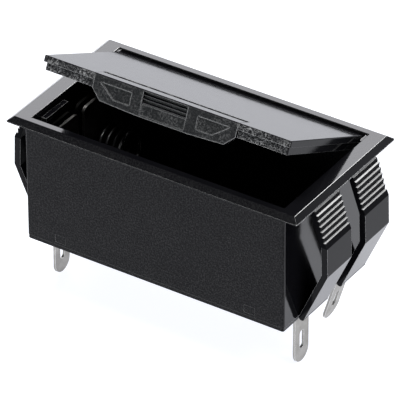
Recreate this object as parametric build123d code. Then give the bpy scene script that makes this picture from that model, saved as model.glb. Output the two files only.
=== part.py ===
from build123d import *
from math import atan2, degrees
import os

# Panel-mount box for two cylindrical cells: a tub with a bevelled flange drops into a panel cut-out
# from the front and is held by two ribbed snap arms at each end. A hinged lid covers it, and the
# contacts leave through the base plate as solder tags. Millimetres, +Z up, +X along the box, the
# front at -Y. The origin is the centre of the flange's underside, which is the panel's front face.

# Driving sizes
FLANGE_L, FLANGE_D, FLANGE_H = 67.6, 36.1, 1.15
FLANGE_LAND, FLANGE_BEVEL, FLANGE_EDGE_R = 0.2, 1.2, 0.2
BODY_L, BODY_D, BODY_H = 60.5, 33.3, 27.0
OPENING_L, OPENING_D = 58.7, 30.7
CORNER_R = 0.45
BASE_T, BASE_INSET, BASE_EDGE_R = 0.9, 0.1, 0.15
CELL_R, CELL_Z, LANE_Y = 7.25, -17.0, 7.6
SMALL_GAP = 0.05
BITE = 0.2

# Lid, described closed and then turned up to its rest angle
LID_L, LID_T, LID_FRONT_Y = 57.1, 1.35, -15.12
LID_TOP_Z, LID_EDGE_R = 1.10, 0.2
LID_REST_DEG = 26.4
HINGE_R = 0.9
HINGE_Y, HINGE_Z = 14.2, LID_TOP_Z - HINGE_R
SKIRT_INSET, SKIRT_T, SKIRT_DEPTH, SKIRT_REAR_Y = 0.5, 1.0, 2.95, 12.0
PIN_R, PIN_BORE_R, PIN_INNER_X, PIN_OUTER_X = 0.5, 0.55, 26.2, 30.05
PIN_BOSS_R, PIN_BOSS_T, PIN_BOSS_DROP = 1.15, 0.5, 0.3

# Finger catch in the middle of the lid's front edge
CATCH_HALF_L, CATCH_DEPTH, CATCH_WALL = 16.6, 5.5, 1.6
CATCH_STRIP, CATCH_SLOT, CATCH_END_GAP = 3.2, 1.1, 0.12
CATCH_DRAFT, CATCH_LIP_R = 0.27, 0.3
PANEL_RECESS = 0.35
WINDOW_HALF_L, WINDOW_TOP, WINDOW_BOTTOM = 5.1, 0.3, 5.1
GRIP_RECESS, GRIP_BOTTOM = 0.9, 2.85
RIDGE_DEPTHS = (1.05, 1.85, 2.65)
RIDGE_H, RIDGE_W = 0.55, 0.32

# Snap arms: outer profile of a right-hand arm, from the root up. The ledges catch behind the panel
ARM_Y0, ARM_Y1, ARM_T = 2.6, 11.35, 1.4
ARM_ROOT_X, ARM_ROOT_R = 30.97, 0.65
ARM_ROOT_Z = -BODY_H + ARM_ROOT_R
KNEE_X, KNEE_Z = 36.85, -14.6
FLAT_TOP_X, FLAT_TOP_Z = 36.65, -8.1
LEDGE_COUNT, LEDGE_DEPTH = 6, 0.45
LEDGE_X, LEDGE_Z = 36.2, -7.0
LEDGE_PITCH_X, LEDGE_PITCH_Z = 0.35, 1.15
TIP_X, TIP_Z, TIP_T = 33.85, -0.4, 1.3

# Contacts, springs and tags
PLATE_X, PLATE_T, PLATE_W, PLATE_TOP_Z = 28.5, 0.5, 13.2, -5.2
TAG_W, TAG_TIP_Z, TAG_HOLE_W, TAG_HOLE_L, TAG_HOLE_Z = 5.05, -39.6, 1.5, 4.2, -34.4
TAG_BEND_Z, TAG_BEND_DEG = -28.6, 16.5
SPRING_R, WIRE_R, SPRING_TURNS = 4.2, 0.4, 3
SPRING_TIP_X = 22.2
BUTTON_R, BUTTON_H, BUTTON_SHANK_R = 2.9, 0.8, 1.1
SHELF_Y0, SHELF_Y1, SHELF_TOP_Z, SHELF_T, SHELF_OUT = 4.5, 12.1, -0.6, 0.8, 1.1
BACKING_RIB_Y, BACKING_RIB_W, BACKING_RIB_TOP_Z = 4.5, 1.0, -6.5
FINGER_REACH, FINGER_W, FINGER_HALF_H = 1.2, 0.45, 1.5
RIVET_TAIL_R, RIVET_TAIL_T = 1.8, 0.35
NIB_X, NIB_W, NIB_Z0, NIB_Z1 = 22.3, 2.4, -25.5, -23.8
NIB_TANG_T = 0.8
DIVIDER_T, DIVIDER_TOP_Z, DIVIDER_HALF_L = 1.2, -12.0, 26.0
SADDLE_X, SADDLE_T, SADDLE_TOP_Z = 14.0, 1.6, -20.5

FLOOR_Z = -BODY_H + BASE_T
WALL_Y = OPENING_D / 2
WALL_X = OPENING_L / 2
LEFT, RIGHT = -1, 1
FRONT, REAR = -1, 1
ENDS = {"left": LEFT, "right": RIGHT}
LANES = {"front": FRONT, "rear": REAR}


def block(x0, x1, y0, y1, z0, z1):
    """A box between two corners, whichever way round they are given."""
    size = (abs(x1 - x0), abs(y1 - y0), abs(z1 - z0))
    return Pos((x0 + x1) / 2, (y0 + y1) / 2, (z0 + z1) / 2) * Box(*size)


def rod_x(radius, x0, x1, y, z):
    """A round bar along X."""
    return Pos((x0 + x1) / 2, y, z) * Rot(0, 90, 0) * Cylinder(radius, abs(x1 - x0))


def prism_x(points, x0, x1):
    """A YZ outline pulled along X."""
    face = Plane.YZ * make_face(Polyline(*points, close=True))
    return Pos(min(x0, x1), 0, 0) * extrude(face, abs(x1 - x0))


def prism_y(points, y0, y1):
    """An XZ outline pulled along Y."""
    face = Plane.XZ * make_face(Polyline(*points, close=True))
    return Pos(0, max(y0, y1), 0) * extrude(face, abs(y1 - y0))


def save(node, shape):
    """One STEP for each node, holding plain solids only."""
    solids = shape.solids()
    shape = solids[0] if len(solids) == 1 else Compound(children=list(solids))
    shape.label = node
    export_step(shape, f"parts/{node}.step")


# Housing: tub and flange in one moulding

def flange():
    land = extrude(RectangleRounded(FLANGE_L, FLANGE_D, 0.4), FLANGE_LAND)
    rise = FLANGE_H - FLANGE_LAND
    taper = degrees(atan2(FLANGE_BEVEL, rise))
    outline = Rectangle(FLANGE_L - 0.02, FLANGE_D - 0.02)
    return land + Pos(0, 0, FLANGE_LAND) * extrude(outline, rise, taper=taper)


def lid_shelf(end, lane):
    """Small shelf on an end wall that carries the closed lid's rim, bevelled underneath."""
    x0, x1 = WALL_X + BITE, WALL_X - SHELF_OUT
    low = SHELF_TOP_Z - SHELF_T
    outline = [(end * x0, SHELF_TOP_Z), (end * x1, SHELF_TOP_Z), (end * x1, low), (end * x0, low - SHELF_OUT)]
    return prism_y(outline, lane * SHELF_Y0, lane * SHELF_Y1)


def backing_ribs(end, lane):
    """Two upright ribs that hold a contact plate off the end wall."""
    front_x = PLATE_X + PLATE_T / 2 + SMALL_GAP
    ribs = []
    for side in (-1, 1):
        y = lane * LANE_Y + side * BACKING_RIB_Y
        half = BACKING_RIB_W / 2
        wall_x = end * (WALL_X + BITE)
        ribs.append(block(end * front_x, wall_x, y - half, y + half, BACKING_RIB_TOP_Z, FLOOR_Z))
    return ribs


def pin_boss(end):
    """Boss on an end wall that carries one hinge pin; it grows out of the rear wall too."""
    x0, x1 = WALL_X - PIN_BOSS_T, WALL_X + BITE
    low, top = HINGE_Z - PIN_BOSS_R, FLANGE_H - PIN_BOSS_DROP
    return block(end * x0, end * x1, HINGE_Y - PIN_BOSS_R, WALL_Y + BITE, low, top)


def tub_and_flange():
    tub = block(-BODY_L / 2, BODY_L / 2, -BODY_D / 2, BODY_D / 2, FLOOR_Z, 0)
    tub = fillet(tub.edges().filter_by(Axis.Z), CORNER_R)
    shell = tub + flange() - block(-WALL_X, WALL_X, -WALL_Y, WALL_Y, FLOOR_Z - 1, FLANGE_H + 1)
    top_edges = shell.edges().filter_by_position(Axis.Z, FLANGE_H - 0.01, FLANGE_H + 0.01)
    return fillet(top_edges, FLANGE_EDGE_R)


def nib_window(end, lane):
    """Window in a long wall that a nib of the base plate snaps into."""
    x, half = end * NIB_X, NIB_W / 2 + SMALL_GAP
    low, high = NIB_Z0 - SMALL_GAP, NIB_Z1 + SMALL_GAP
    return block(x - half, x + half, lane * (WALL_Y - 1), lane * (BODY_D / 2 + 1), low, high)


def housing():
    shell = tub_and_flange()
    for end in ENDS.values():
        shell += pin_boss(end)
        for lane in LANES.values():
            shell += lid_shelf(end, lane)
            for rib in backing_ribs(end, lane):
                shell += rib
        shell -= rod_x(PIN_R, end * (WALL_X - 1), end * PIN_OUTER_X, HINGE_Y, HINGE_Z)
        for lane in LANES.values():
            shell -= nib_window(end, lane)
    return shell


# Base plate: closes the tub, carries the cells and the contacts

def snap_tang(end, lane):
    """Upright tang inside the wall with a nib that fills the wall's window."""
    inner = WALL_Y - SMALL_GAP
    tang = block(end * NIB_X - NIB_W / 2, end * NIB_X + NIB_W / 2, lane * (inner - NIB_TANG_T), lane * inner,
                 FLOOR_Z - 0.1, NIB_Z1)
    nib = block(end * NIB_X - NIB_W / 2, end * NIB_X + NIB_W / 2, lane * (inner - 0.1), lane * BODY_D / 2,
                NIB_Z0, NIB_Z1)
    return tang + nib


def saddle(end, lane):
    """Cross rib with a round seat under a cell."""
    x = end * SADDLE_X
    rib = block(x - SADDLE_T / 2, x + SADDLE_T / 2, lane * (DIVIDER_T / 2 - 0.1), lane * (WALL_Y - 0.15),
                FLOOR_Z - 0.1, SADDLE_TOP_Z)
    return rib - rod_x(CELL_R + 0.1, x - SADDLE_T, x + SADDLE_T, lane * LANE_Y, CELL_Z)


def base_plate():
    half_l = BODY_L / 2 - BASE_INSET
    plate = block(-half_l, half_l, -BODY_D / 2, BODY_D / 2, -BODY_H, FLOOR_Z)
    plate = fillet(plate.edges().filter_by(Axis.Z), CORNER_R)
    plate = fillet(plate.edges().group_by(Axis.Z)[0], BASE_EDGE_R)
    half_t = DIVIDER_T / 2
    plate += block(-DIVIDER_HALF_L, DIVIDER_HALF_L, -half_t, half_t, FLOOR_Z - 2 * SMALL_GAP, DIVIDER_TOP_Z)
    for end in ENDS.values():
        for lane in LANES.values():
            plate += saddle(end, lane)
            plate += snap_tang(end, lane)
            y = lane * LANE_Y
            half_w = TAG_W / 2 + SMALL_GAP
            half_t = PLATE_T / 2 + SMALL_GAP
            plate -= block(end * PLATE_X - half_t, end * PLATE_X + half_t, y - half_w, y + half_w,
                           -BODY_H - 1, FLOOR_Z + 1)
    return plate


# Lid and catch, drawn closed

def raised(shape):
    """Turns a closed lid piece up to the rest angle, about the hinge axis."""
    axis = Axis((0, HINGE_Y, HINGE_Z), (-1, 0, 0))
    return shape.rotate(axis, LID_REST_DEG)


def lid():
    plate_bottom = LID_TOP_Z - LID_T
    skirt_bottom = LID_TOP_Z - SKIRT_DEPTH
    half_l = LID_L / 2
    plate = block(-half_l, half_l, LID_FRONT_Y, HINGE_Y, plate_bottom, LID_TOP_Z)
    plate = fillet(plate.edges().filter_by(Axis.Z).group_by(Axis.Y)[0], 0.3)
    rim = plate.edges().filter_by_position(Axis.Z, LID_TOP_Z - 0.01, LID_TOP_Z + 0.01).sort_by(Axis.Y)[:-1]
    plate = fillet(rim, LID_EDGE_R)
    barrel = rod_x(HINGE_R, -half_l, half_l, HINGE_Y, HINGE_Z)
    plate += fillet(barrel.edges().filter_by(GeomType.CIRCLE), LID_EDGE_R)
    outer_x, front_y = half_l - SKIRT_INSET, LID_FRONT_Y + SKIRT_INSET
    skirt = block(-outer_x, outer_x, front_y, SKIRT_REAR_Y, skirt_bottom, plate_bottom + 0.1)
    skirt = fillet(skirt.edges().filter_by(Axis.Z).group_by(Axis.Y)[0], 0.4)
    skirt -= block(-outer_x + SKIRT_T, outer_x - SKIRT_T, front_y + SKIRT_T, SKIRT_REAR_Y + 1,
                   skirt_bottom - 1, plate_bottom)
    panel = plate + skirt
    notch_x = CATCH_HALF_L + CATCH_END_GAP
    panel -= block(-notch_x, notch_x, LID_FRONT_Y - 1, LID_FRONT_Y + CATCH_STRIP + CATCH_SLOT,
                   skirt_bottom - 1, LID_TOP_Z + 1)
    for end in ENDS.values():
        panel -= rod_x(PIN_BORE_R, end * (PIN_INNER_X - 0.2), end * (half_l + 1), HINGE_Y, HINGE_Z)
    return panel


def at_depth(x, depth):
    """A point of the catch's front view: across, and down from the lid's top."""
    return (x, LID_TOP_Z - depth)


def catch_outline():
    """Front view of the catch: a shallow tongue with sloping shoulders."""
    shoulder, low_corner, flat = 3.0, (14.4, 5.1), (6.2, CATCH_DEPTH)
    right = [(CATCH_HALF_L, 0), (CATCH_HALF_L, shoulder), low_corner, flat]
    return [at_depth(x, d) for x, d in right] + [at_depth(-x, d) for x, d in reversed(right)]


def catch_side_panel(end):
    """Sunk panel in the catch's face, outside the upright rib."""
    corners = [(15.0, 1.45), (7.7, 1.45), (7.7, 4.1), (11.4, 4.1)]
    outline = [at_depth(end * x, d) for x, d in corners]
    return prism_y(outline, LID_FRONT_Y - 1, LID_FRONT_Y + PANEL_RECESS)


def catch_grip():
    """Finger recess below the top lip, with ridges across it, and the flat thumb panel under it."""
    top = LID_TOP_Z - WINDOW_TOP
    grip_low = LID_TOP_Z - GRIP_BOTTOM
    panel_low = LID_TOP_Z - WINDOW_BOTTOM
    front = LID_FRONT_Y - 1
    cut = block(-WINDOW_HALF_L, WINDOW_HALF_L, front, LID_FRONT_Y + GRIP_RECESS, grip_low, top)
    cut += block(-WINDOW_HALF_L, WINDOW_HALF_L, front, LID_FRONT_Y + PANEL_RECESS, panel_low, grip_low)
    for depth in RIDGE_DEPTHS:
        z = LID_TOP_Z - depth
        face = LID_FRONT_Y + GRIP_RECESS
        cut -= prism_x([(face + 0.1, z - RIDGE_W), (face - RIDGE_H, z), (face + 0.1, z + RIDGE_W)],
                       -WINDOW_HALF_L, WINDOW_HALF_L)
    return cut


def lid_catch():
    tongue = prism_y(catch_outline(), LID_FRONT_Y, LID_FRONT_Y + CATCH_WALL)
    strip_low = LID_TOP_Z - LID_T
    strip = block(-CATCH_HALF_L, CATCH_HALF_L, LID_FRONT_Y, LID_FRONT_Y + CATCH_STRIP, strip_low, LID_TOP_Z)
    catch = tongue + strip
    top_edges = catch.edges().filter_by(Axis.X).filter_by_position(Axis.Z, LID_TOP_Z - 0.01, LID_TOP_Z + 0.01)
    catch = fillet(top_edges, CATCH_LIP_R)
    for end in ENDS.values():
        catch -= catch_side_panel(end)
    catch -= catch_grip()
    wedge_low = LID_TOP_Z - CATCH_DEPTH - 0.5
    slope = CATCH_DRAFT / CATCH_DEPTH
    catch -= prism_x([(LID_FRONT_Y, LID_TOP_Z), (LID_FRONT_Y + slope * (CATCH_DEPTH + 0.5), wedge_low),
                      (LID_FRONT_Y - 1, wedge_low), (LID_FRONT_Y - 1, LID_TOP_Z)],
                     -CATCH_HALF_L - 1, CATCH_HALF_L + 1)
    return catch


def hinge_pin(end):
    return rod_x(PIN_R, end * PIN_INNER_X, end * PIN_OUTER_X, HINGE_Y, HINGE_Z)


# Snap arms

def arm_outline():
    """Side view of a right-hand arm: round root, sloping leg, flat, and gripping ledges up to the tip."""
    outer = [(ARM_ROOT_X + ARM_ROOT_R, ARM_ROOT_Z), (KNEE_X, KNEE_Z), (FLAT_TOP_X, FLAT_TOP_Z)]
    for ledge in range(LEDGE_COUNT):
        crest_x = LEDGE_X - LEDGE_PITCH_X * ledge
        z = LEDGE_Z + LEDGE_PITCH_Z * ledge
        outer += [(crest_x, z), (crest_x - LEDGE_DEPTH, z)]
    outer.append((TIP_X, TIP_Z))
    inner = [(TIP_X - TIP_T, TIP_Z), (FLAT_TOP_X - ARM_T, FLAT_TOP_Z), (KNEE_X - ARM_T, KNEE_Z),
             (ARM_ROOT_X - ARM_ROOT_R, ARM_ROOT_Z)]
    return outer + inner


def snap_arm(end, lane):
    outline = [(end * x, z) for x, z in arm_outline()]
    leaf = prism_y(outline, lane * ARM_Y0, lane * ARM_Y1)
    middle_y = lane * (ARM_Y0 + ARM_Y1) / 2
    root = Pos(end * ARM_ROOT_X, middle_y, ARM_ROOT_Z) * Rot(90, 0, 0) * Cylinder(ARM_ROOT_R, ARM_Y1 - ARM_Y0)
    return leaf + root


# Contacts

def tag_blade(lane):
    """The narrow lower end of a contact: rounded tip and an oblong wire hole."""
    y = lane * LANE_Y
    radius = TAG_W / 2
    blade = block(-PLATE_T / 2, PLATE_T / 2, y - radius, y + radius, TAG_TIP_Z + radius, FLOOR_Z)
    blade += rod_x(radius, -PLATE_T / 2, PLATE_T / 2, y, TAG_TIP_Z + radius)
    hole_r = TAG_HOLE_W / 2
    reach = TAG_HOLE_L / 2 - hole_r
    hole = block(-1, 1, y - hole_r, y + hole_r, TAG_HOLE_Z - reach, TAG_HOLE_Z + reach)
    for side in (-1, 1):
        hole += rod_x(hole_r, -1, 1, y, TAG_HOLE_Z + side * reach)
    return blade - hole


def bent(blade, end):
    """Bends the tag inwards below the base, about a line along Y."""
    low = block(-20, 20, -50, 50, TAG_BEND_Z - 50, TAG_BEND_Z)
    straight, tip = blade - low, blade & low
    axis = Axis((0, 0, TAG_BEND_Z), (0, 1, 0))
    y_mid = blade.bounding_box().center().Y
    knuckle = Pos(0, y_mid, TAG_BEND_Z) * Rot(90, 0, 0) * Cylinder(PLATE_T / 2, TAG_W)
    return straight + knuckle + tip.rotate(axis, end * TAG_BEND_DEG)


def contact(end, lane, sprung, bend=False):
    """Pressed contact plate with its solder tag."""
    y = lane * LANE_Y
    half = PLATE_W / 2
    plate = block(-PLATE_T / 2, PLATE_T / 2, y - half, y + half, FLOOR_Z, PLATE_TOP_Z)
    plate = fillet(plate.edges().filter_by(Axis.X).group_by(Axis.Z)[-1], 1.2)
    blade = tag_blade(lane)
    plate += bent(blade, end) if bend else blade
    if sprung:
        reach = PLATE_T / 2 + FINGER_REACH
        low, high = CELL_Z - FINGER_HALF_H, CELL_Z + FINGER_HALF_H
        for side in (-1, 1):
            edge = y + side * (SPRING_R + WIRE_R + 2 * SMALL_GAP)
            plate += block(0, -end * reach, edge, edge + side * FINGER_W, low, high)
    else:
        plate -= rod_x(BUTTON_SHANK_R, -1, 1, y, CELL_Z)
    return Pos(end * PLATE_X, 0, 0) * plate


def contact_button(end, lane):
    """Domed rivet that the cell's nub presses on, clinched behind the plate."""
    y = lane * LANE_Y
    face = PLATE_X - PLATE_T / 2
    back = PLATE_X + PLATE_T / 2
    head = rod_x(BUTTON_R, end * (face - BUTTON_H), end * face, y, CELL_Z)
    inner_rim = head.edges().filter_by(GeomType.CIRCLE).sort_by(Axis.X)
    head = fillet(inner_rim[0] if end == RIGHT else inner_rim[-1], BUTTON_H * 0.8)
    shank = rod_x(BUTTON_SHANK_R, end * (face - 0.1), end * back, y, CELL_Z)
    tail = rod_x(RIVET_TAIL_R, end * back, end * (back + RIVET_TAIL_T), y, CELL_Z)
    return head + shank + tail


def spring_coil(end, lane):
    """Live turns of the contact spring, between the plate and the end turn."""
    base_x = PLATE_X - PLATE_T / 2 - WIRE_R - 0.02
    length = base_x - SPRING_TIP_X - 2 * WIRE_R - SMALL_GAP
    path = Helix(pitch=length / SPRING_TURNS, height=length, radius=SPRING_R)
    wire = sweep(Plane(path @ 0, z_dir=path % 0) * Circle(WIRE_R), path=path, is_frenet=True)
    turned = Rot(0, -90 * end, 0) * wire
    return Pos(end * base_x, lane * LANE_Y, CELL_Z) * turned


def spring_end_turn(end, lane):
    """Closed last turn, which the cell's base presses on."""
    return Pos(end * SPRING_TIP_X, lane * LANE_Y, CELL_Z) * Rot(0, 90, 0) * Torus(SPRING_R, WIRE_R)


def main():
    os.makedirs("parts", exist_ok=True)
    save("housing", housing())
    save("base_plate", base_plate())
    save("lid", raised(lid()))
    save("lid_catch", raised(lid_catch()))
    for side, end in ENDS.items():
        save(f"hinge_pin_{side}", hinge_pin(end))
        for lane_name, lane in LANES.items():
            save(f"snap_arm_{lane_name}_{side}", snap_arm(end, lane))
    # The two cells lie opposite ways round, so each end has one flat and one sprung contact.
    for lane_name, lane in LANES.items():
        flat_end = LEFT if lane == FRONT else RIGHT
        save(f"{lane_name}_flat_contact", contact(flat_end, lane, sprung=False, bend=(lane == REAR)))
        save(f"{lane_name}_contact_button", contact_button(flat_end, lane))
        save(f"{lane_name}_spring_contact", contact(-flat_end, lane, sprung=True))
        save(f"{lane_name}_spring_coil", spring_coil(-flat_end, lane))
        save(f"{lane_name}_spring_end_turn", spring_end_turn(-flat_end, lane))


main()
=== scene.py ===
import math

import bpy
from mathutils import Matrix, Vector


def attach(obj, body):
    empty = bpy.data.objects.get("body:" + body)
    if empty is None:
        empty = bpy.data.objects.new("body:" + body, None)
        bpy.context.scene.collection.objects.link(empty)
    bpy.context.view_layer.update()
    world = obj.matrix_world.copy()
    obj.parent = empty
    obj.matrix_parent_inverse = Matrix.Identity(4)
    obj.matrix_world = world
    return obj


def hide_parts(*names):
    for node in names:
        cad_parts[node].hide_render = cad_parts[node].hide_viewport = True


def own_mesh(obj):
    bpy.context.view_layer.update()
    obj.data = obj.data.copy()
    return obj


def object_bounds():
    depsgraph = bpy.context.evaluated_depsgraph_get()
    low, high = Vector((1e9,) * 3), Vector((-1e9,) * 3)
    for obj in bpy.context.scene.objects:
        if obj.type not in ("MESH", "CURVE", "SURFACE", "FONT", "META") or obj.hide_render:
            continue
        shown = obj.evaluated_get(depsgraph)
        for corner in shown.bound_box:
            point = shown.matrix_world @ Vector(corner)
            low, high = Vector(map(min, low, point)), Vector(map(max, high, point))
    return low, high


# Looks for the panel-mount box: black moulded plastic, plated contacts and springs, on a white floor.
# Metres throughout, in the CAD's own frame.

MM = 0.001
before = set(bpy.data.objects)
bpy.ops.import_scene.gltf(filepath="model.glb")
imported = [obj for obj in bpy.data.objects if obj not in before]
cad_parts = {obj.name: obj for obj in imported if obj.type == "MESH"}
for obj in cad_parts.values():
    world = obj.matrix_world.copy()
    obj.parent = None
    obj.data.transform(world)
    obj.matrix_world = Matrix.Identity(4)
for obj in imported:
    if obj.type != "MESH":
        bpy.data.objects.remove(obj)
cad_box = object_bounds()
FLOOR_Z = cad_box[0].z - 0.2 * MM

# Camera: azimuth, elevation and roll in degrees, and the point that it looks at
CAM_AZ, CAM_EL, CAM_ROLL = 33.3136, 33.8769, -0.2177
CAM_TARGET = Vector((4.146, -6.347, -11.292)) * MM
CAM_DISTANCE = 961.71 * MM
CAM_LENS, SENSOR = 441.3, 36.0
CLIP_NEAR, CLIP_FAR = 0.05, 10.0

# The floor is lit from below as well, like a light table, so it is white with hardly a shadow
FLOOR_GLOW, FLOOR_STRENGTH = (0.955, 0.975, 1.06), 0.98
FLOOR_HALF_SIDE = 3.0
FLOOR_GREYS = (0.28, 0.28, 0.28), (0.30, 0.30, 0.30)

# Every lamp is a soft box at this distance, turned towards this point
LAMP_DISTANCE, LAMP_AIM = 0.6, Vector((0, 0, -12)) * MM

# Scales of the patterns that all the materials share, in features per metre
DRIFT_SCALE, GLOSS_SCALE, PATCH_SCALE = 90, 500, 330
PLATING_SCALE, PLATING_GLOSS_SCALE, ROLLED_SCALE = 260, 700, 900

# The ribs on the snap arms are above this height
RIBS_Z, RIBS_BLEND = -8.2 * MM, 0.05 * MM

ARMS = [f"snap_arm_{lane}_{side}" for lane in ("front", "rear") for side in ("left", "right")]
CONTACTS = [f"{lane}_{kind}_contact" for lane in ("front", "rear") for kind in ("flat", "spring")]
BUTTONS = ["front_contact_button", "rear_contact_button"]
END_TURNS = ["front_spring_end_turn", "rear_spring_end_turn"]
PINS = ["hinge_pin_left", "hinge_pin_right"]


def direction(azimuth, elevation):
    """Unit vector from the object towards a place seen at that azimuth and elevation."""
    a, e = math.radians(azimuth), math.radians(elevation)
    return Vector((math.sin(a) * math.cos(e), -math.cos(a) * math.cos(e), math.sin(e)))


def add_camera():
    data = bpy.data.cameras.new("camera")
    data.lens, data.sensor_width = CAM_LENS, SENSOR
    data.clip_start, data.clip_end = CLIP_NEAR, CLIP_FAR
    camera = bpy.data.objects.new("camera", data)
    bpy.context.collection.objects.link(camera)
    back = direction(CAM_AZ, CAM_EL)
    turn = back.to_track_quat("Z", "Y").to_matrix() @ Matrix.Rotation(math.radians(CAM_ROLL), 3, "Z")
    camera.matrix_world = Matrix.Translation(CAM_TARGET + back * CAM_DISTANCE) @ turn.to_4x4()
    bpy.context.scene.camera = camera


def add_lamp(name, towards, width, height, radiance, color=(1, 1, 1)):
    """A soft box seen from the object at the given azimuth and elevation, in degrees."""
    data = bpy.data.lights.new(name, "AREA")
    data.shape, data.size, data.size_y = "RECTANGLE", width, height
    data.energy, data.color = radiance * math.pi * width * height, color
    lamp = bpy.data.objects.new(name, data)
    bpy.context.collection.objects.link(lamp)
    lamp.location = direction(*towards) * LAMP_DISTANCE
    lamp.rotation_euler = (lamp.location - LAMP_AIM).to_track_quat("Z", "Y").to_euler()


def add_world(color, strength):
    world = bpy.data.worlds.new("world")
    bpy.context.scene.world = world
    world.use_nodes = True
    background = world.node_tree.nodes["Background"]
    background.inputs["Color"].default_value = (*color, 1)
    background.inputs["Strength"].default_value = strength


def new_material(name):
    mat = bpy.data.materials.new(name)
    mat.use_nodes = True
    tree = mat.node_tree
    shader = tree.nodes["Principled BSDF"]
    return mat, tree, shader


def noise(tree, scale, detail=3.0, rough=0.6, offset=(0, 0, 0), stretch=(1, 1, 1)):
    """Noise in object space; scale is in features per metre."""
    coord = tree.nodes.new("ShaderNodeTexCoord")
    place = tree.nodes.new("ShaderNodeMapping")
    place.inputs["Location"].default_value = offset
    place.inputs["Scale"].default_value = stretch
    tex = tree.nodes.new("ShaderNodeTexNoise")
    tex.inputs["Scale"].default_value = scale
    tex.inputs["Detail"].default_value = detail
    tex.inputs["Roughness"].default_value = rough
    tree.links.new(coord.outputs["Object"], place.inputs["Vector"])
    tree.links.new(place.outputs["Vector"], tex.inputs["Vector"])
    return tex.outputs["Fac"]


def ramp(tree, source, low, high, start=0.3, end=0.7):
    """Maps a 0 to 1 value onto a range of numbers or of colours."""
    if isinstance(low, (int, float)):
        node = tree.nodes.new("ShaderNodeMapRange")
        node.inputs["From Min"].default_value = start
        node.inputs["From Max"].default_value = end
        node.inputs["To Min"].default_value = low
        node.inputs["To Max"].default_value = high
        tree.links.new(source, node.inputs["Value"])
        return node.outputs["Result"]
    node = tree.nodes.new("ShaderNodeValToRGB")
    node.color_ramp.elements[0].position, node.color_ramp.elements[1].position = start, end
    node.color_ramp.elements[0].color, node.color_ramp.elements[1].color = (*low, 1), (*high, 1)
    tree.links.new(source, node.inputs["Fac"])
    return node.outputs["Color"]


def bump(tree, height, strength, distance):
    node = tree.nodes.new("ShaderNodeBump")
    node.inputs["Strength"].default_value = strength
    node.inputs["Distance"].default_value = distance
    tree.links.new(height, node.inputs["Height"])
    return node.outputs["Normal"]


def facing(tree, axis, start, end, both_ways=False):
    """1 where the object's own normal is along the axis, 0 elsewhere; start and end are cosines."""
    coord = tree.nodes.new("ShaderNodeTexCoord")
    dot = tree.nodes.new("ShaderNodeVectorMath")
    dot.operation = "DOT_PRODUCT"
    dot.inputs[1].default_value = axis
    tree.links.new(coord.outputs["Normal"], dot.inputs[0])
    value = dot.outputs["Value"]
    if both_ways:
        size = tree.nodes.new("ShaderNodeMath")
        size.operation = "ABSOLUTE"
        tree.links.new(value, size.inputs[0])
        value = size.outputs["Value"]
    return ramp(tree, value, 0.0, 1.0, start, end)


def painted_edge_highlight_mask(tree, width):
    """1 on a band of that width along the sharp edges, where a lighter grey is painted on as a painted
    highlight.
    """
    rounded = tree.nodes.new("ShaderNodeBevel")
    rounded.samples = 6
    rounded.inputs["Radius"].default_value = width
    flat = tree.nodes.new("ShaderNodeNewGeometry")
    dot = tree.nodes.new("ShaderNodeVectorMath")
    dot.operation = "DOT_PRODUCT"
    tree.links.new(rounded.outputs["Normal"], dot.inputs[0])
    tree.links.new(flat.outputs["Normal"], dot.inputs[1])
    return ramp(tree, dot.outputs["Value"], 1.0, 0.0, 0.75, 0.97)


def blend_grey(tree, factor, color, grey):
    """Mixes a colour socket with a plain grey by a 0 to 1 factor."""
    mix = tree.nodes.new("ShaderNodeMix")
    mix.data_type = "RGBA"
    low, high = [socket for socket in mix.inputs if socket.type == "RGBA"]
    tree.links.new(factor, mix.inputs["Factor"])
    tree.links.new(color, low)
    high.default_value = (grey, grey, grey, 1)
    return [socket for socket in mix.outputs if socket.type == "RGBA"][0]


def multiply(tree, first, second):
    node = tree.nodes.new("ShaderNodeMath")
    node.operation = "MULTIPLY"
    tree.links.new(first, node.inputs[0])
    tree.links.new(second, node.inputs[1])
    return node.outputs["Value"]


def fill_plastic(tree, shader, rough, grain, ior, edge, painted_glints=None):
    """Fills one shader with black plastic: faint colour drift, uneven gloss, and a grain of
    (scale, height in mm, strength), with painted edge highlights of (width in mm, grey). Coarse
    texture also has pale specks, painted glints, of (scale, grey, strength where they are fewest)."""
    link = tree.links.new
    scale, height, strength = grain
    color = ramp(tree, noise(tree, DRIFT_SCALE, 2.0), BLACK, DARK_GREY)
    # Painted glints: pale specks in the base colour, thinned out in patches, stand in for the sparkle of
    # the textured face
    if painted_glints:
        speck_scale, grey, least = painted_glints
        fine = ramp(tree, noise(tree, speck_scale, 2.0, 0.7, offset=(1, 4, 2)), 0.0, 1.0, 0.46, 0.66)
        patches = ramp(tree, noise(tree, PATCH_SCALE, 2.0, 0.6, offset=(5, 2, 7)), least, 1.0, 0.40, 0.60)
        color = blend_grey(tree, multiply(tree, fine, patches), color, grey)
    # Painted highlight: a lighter grey band along the sharp edges
    edge_width, painted_highlight_grey = edge
    color = blend_grey(tree, painted_edge_highlight_mask(tree, edge_width * MM), color, painted_highlight_grey)
    link(color, shader.inputs["Base Color"])
    link(ramp(tree, noise(tree, GLOSS_SCALE, 4.0, offset=(3, 1, 2)), *rough), shader.inputs["Roughness"])
    link(bump(tree, noise(tree, scale, 2.0, 0.55), strength, height * MM), shader.inputs["Normal"])
    shader.inputs["IOR"].default_value = ior
    return color


def mix_shaders(tree, mask, first, second):
    mix = tree.nodes.new("ShaderNodeMixShader")
    tree.links.new(mask, mix.inputs["Fac"])
    tree.links.new(first.outputs["BSDF"], mix.inputs[1])
    tree.links.new(second.outputs["BSDF"], mix.inputs[2])
    tree.links.new(mix.outputs["Shader"], tree.nodes["Material Output"].inputs["Surface"])


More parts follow.
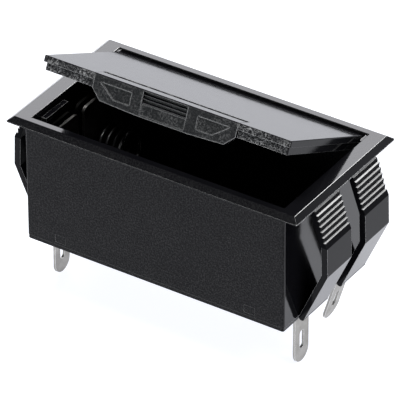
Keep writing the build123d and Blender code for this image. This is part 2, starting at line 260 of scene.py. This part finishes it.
def moulded(name, smooth, eroded, both_sides):
    """Black moulded plastic: glossy, and spark-eroded on the front, or on both long sides."""
    mat, tree, shader = new_material(name)
    fill_plastic(tree, shader, **smooth)
    second = tree.nodes.new("ShaderNodeBsdfPrincipled")
    fill_plastic(tree, second, **eroded)
    mix_shaders(tree, facing(tree, (0, -1, 0), 0.55, 0.8, both_sides), shader, second)
    return mat


def above(tree, height, width):
    """1 where the object's own height is over the given one, both in metres, 0 elsewhere."""
    coord = tree.nodes.new("ShaderNodeTexCoord")
    split = tree.nodes.new("ShaderNodeSeparateXYZ")
    tree.links.new(coord.outputs["Object"], split.inputs["Vector"])
    return ramp(tree, split.outputs["Z"], 0.0, 1.0, height - width, height + width)


def ribbed(name, smooth, ribs, crest):
    """Black moulded plastic with ribs in its upper part, whose upward faces are painted the crest's grey
    as a painted highlight.
    """
    mat, tree, shader = new_material(name)
    fill_plastic(tree, shader, **smooth)
    second = tree.nodes.new("ShaderNodeBsdfPrincipled")
    color = fill_plastic(tree, second, **ribs)
    # Painted highlight: the upward faces of the ribs are painted lighter
    painted_rib_highlight = facing(tree, (0, 0, 1), 0.88, 0.98)
    tree.links.new(blend_grey(tree, painted_rib_highlight, color, crest), second.inputs["Base Color"])
    mix_shaders(tree, above(tree, RIBS_Z, RIBS_BLEND), shader, second)
    return mat


def plated(name, color_low, color_high, rough, brushed, painted_edge_glint=None):
    """Plated strip or wire: rolled grain, uneven dullness, and sheared edges painted pale as a painted
    highlight.
    """
    mat, tree, shader = new_material(name)
    link = tree.links.new
    color = ramp(tree, noise(tree, PLATING_SCALE, 4.0), color_low, color_high)
    # Painted highlight: a pale band along the sheared edges; the bare edges are real, their brightness is
    # painted
    if painted_edge_glint:
        width, grey = painted_edge_glint
        color = blend_grey(tree, painted_edge_highlight_mask(tree, width * MM), color, grey)
    shader.inputs["Metallic"].default_value = 1.0
    link(color, shader.inputs["Base Color"])
    gloss = noise(tree, PLATING_GLOSS_SCALE, 4.0, offset=(2, 5, 1))
    link(ramp(tree, gloss, *rough), shader.inputs["Roughness"])
    grain = noise(tree, ROLLED_SCALE, 3.0, 0.6, stretch=brushed)
    link(bump(tree, grain, 0.25, 0.04 * MM), shader.inputs["Normal"])
    return mat


def dress(material, *nodes):
    for name in nodes:
        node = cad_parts[name]
        node.data.materials.clear()
        node.data.materials.append(material)


def add_coil(lane, material):
    """A copy of one coil's live turns, carried with the housing in a mesh of its own."""
    node = f"{lane}_spring_coil"
    coil = bpy.data.objects.new(f"{lane}_spring_turns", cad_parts[node].data.copy())
    bpy.context.collection.objects.link(coil)
    coil.data.materials.clear()
    coil.data.materials.append(material)
    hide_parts(node)
    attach(coil, "housing")
    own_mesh(coil)


def add_floor():
    data = bpy.data.meshes.new("floor")
    side, z = FLOOR_HALF_SIDE, FLOOR_Z
    corners = [(-side, -side, z), (side, -side, z), (side, side, z), (-side, side, z)]
    data.from_pydata(corners, [], [(0, 1, 2, 3)])
    floor = bpy.data.objects.new("floor", data)
    bpy.context.collection.objects.link(floor)
    mat, tree, shader = new_material("floor_white")
    tree.links.new(ramp(tree, noise(tree, 6, 2.0), *FLOOR_GREYS), shader.inputs["Base Color"])
    shader.inputs["Roughness"].default_value = 0.9
    shader.inputs["Emission Color"].default_value = (*FLOOR_GLOW, 1)
    shader.inputs["Emission Strength"].default_value = FLOOR_STRENGTH
    data.materials.append(mat)


bpy.context.scene.view_settings.view_transform = "Standard"
add_camera()
add_world((0.95, 0.97, 1.0), 0.08)
# Mirrored in the flange's top
add_lamp("behind_left", (213.3, 34.0), 0.30, 0.20, 5.5, (0.96, 0.96, 1.0))
# Mirrored in the rounded edges along Y
add_lamp("crest", (178.0, 45.0), 0.34, 0.06, 38.0)
# Mirrored in the bevel and the lower edges at the right end
add_lamp("behind_right", (143.0, 28.0), 0.20, 0.12, 0.5, (0.93, 0.96, 1.0))
add_lamp("low_right", (134.0, 14.0), 0.16, 0.05, 7.0)
# For the floor, the arms' ribs and the tags
add_lamp("above", (300.0, 80.0), 0.20, 0.20, 26.0)
add_lamp("side_right", (78.0, 48.0), 0.20, 0.20, 10.0)
# Mirrored in the front of the lid and its catch
add_lamp("low_front", (331.8, 14.0), 0.40, 0.08, 3.4, (0.90, 1.0, 0.98))
add_floor()

BLACK, DARK_GREY = (0.003, 0.003, 0.004), (0.005, 0.005, 0.006)
# The edge entries paint a lighter band along the sharp edges as a painted highlight, of (width in mm,
# grey)
GLOSSY = dict(rough=(0.08, 0.12), grain=(3000, 0.01, 0.03), ior=1.39, edge=(0.12, 0.60))
LID_TOP = dict(rough=(0.10, 0.13), grain=(3000, 0.003, 0.02), ior=1.2, edge=(0.10, 0.15))
SATIN = dict(rough=(0.30, 0.40), grain=(3200, 0.02, 0.2), ior=1.4, edge=(0.10, 0.05))
WALL = dict(rough=(0.36, 0.50), grain=(2600, 0.12, 0.9), ior=1.19, edge=(0.12, 0.12),
            painted_glints=(3000, 0.034, 0.8))
LID_FRONT = dict(rough=(0.25, 0.35), grain=(2400, 0.25, 1.0), ior=1.3, edge=(0.16, 0.50),
                 painted_glints=(2600, 0.30, 0.25))
CATCH_FRONT = dict(rough=(0.25, 0.35), grain=(2400, 0.15, 0.8), ior=1.3, edge=(0.45, 0.30),
                   painted_glints=(2600, 0.07, 0.25))
ARM_FLAT = dict(rough=(0.09, 0.14), grain=(3000, 0.01, 0.03), ior=1.19, edge=(0.10, 0.60))
ARM_RIBS = dict(rough=(0.30, 0.40), grain=(3000, 0.02, 0.3), ior=1.08, edge=(0.08, 0.03))

dress(moulded("tub_plastic", GLOSSY, WALL, both_sides=True), "housing")
dress(moulded("base_plastic", SATIN, WALL, both_sides=True), "base_plate")
dress(moulded("lid_plastic", LID_TOP, LID_FRONT, both_sides=False), "lid")
dress(moulded("catch_plastic", LID_TOP, CATCH_FRONT, both_sides=False), "lid_catch")
# The ribs' upward faces are painted 0.55 grey as a painted highlight
dress(ribbed("arm_plastic", ARM_FLAT, ARM_RIBS, crest=0.55), *ARMS)
# The contacts' sheared edges carry a painted highlight band of (width in mm, grey)
dress(plated("contact_metal", (0.28, 0.27, 0.25), (0.42, 0.41, 0.385), (0.40, 0.55), (1, 6, 0.25),
             painted_edge_glint=(0.2, 0.9)), *CONTACTS, *BUTTONS)
dress(plated("spring_wire", (0.45, 0.45, 0.44), (0.60, 0.59, 0.58), (0.10, 0.20), (1, 1, 1)), *END_TURNS)
dress(plated("pin_steel", (0.45, 0.45, 0.45), (0.6, 0.6, 0.6), (0.25, 0.35), (0.2, 4, 4)), *PINS)
# Painted shade: the live turns are the same wire as the end turns, painted near black as shade inside the
# box
shaded_wire = plated("spring_wire_painted_shade", (0.06, 0.06, 0.06), (0.12, 0.12, 0.12), (0.25, 0.35), (1, 1, 1))
add_coil("front", shaded_wire)
add_coil("rear", shaded_wire)
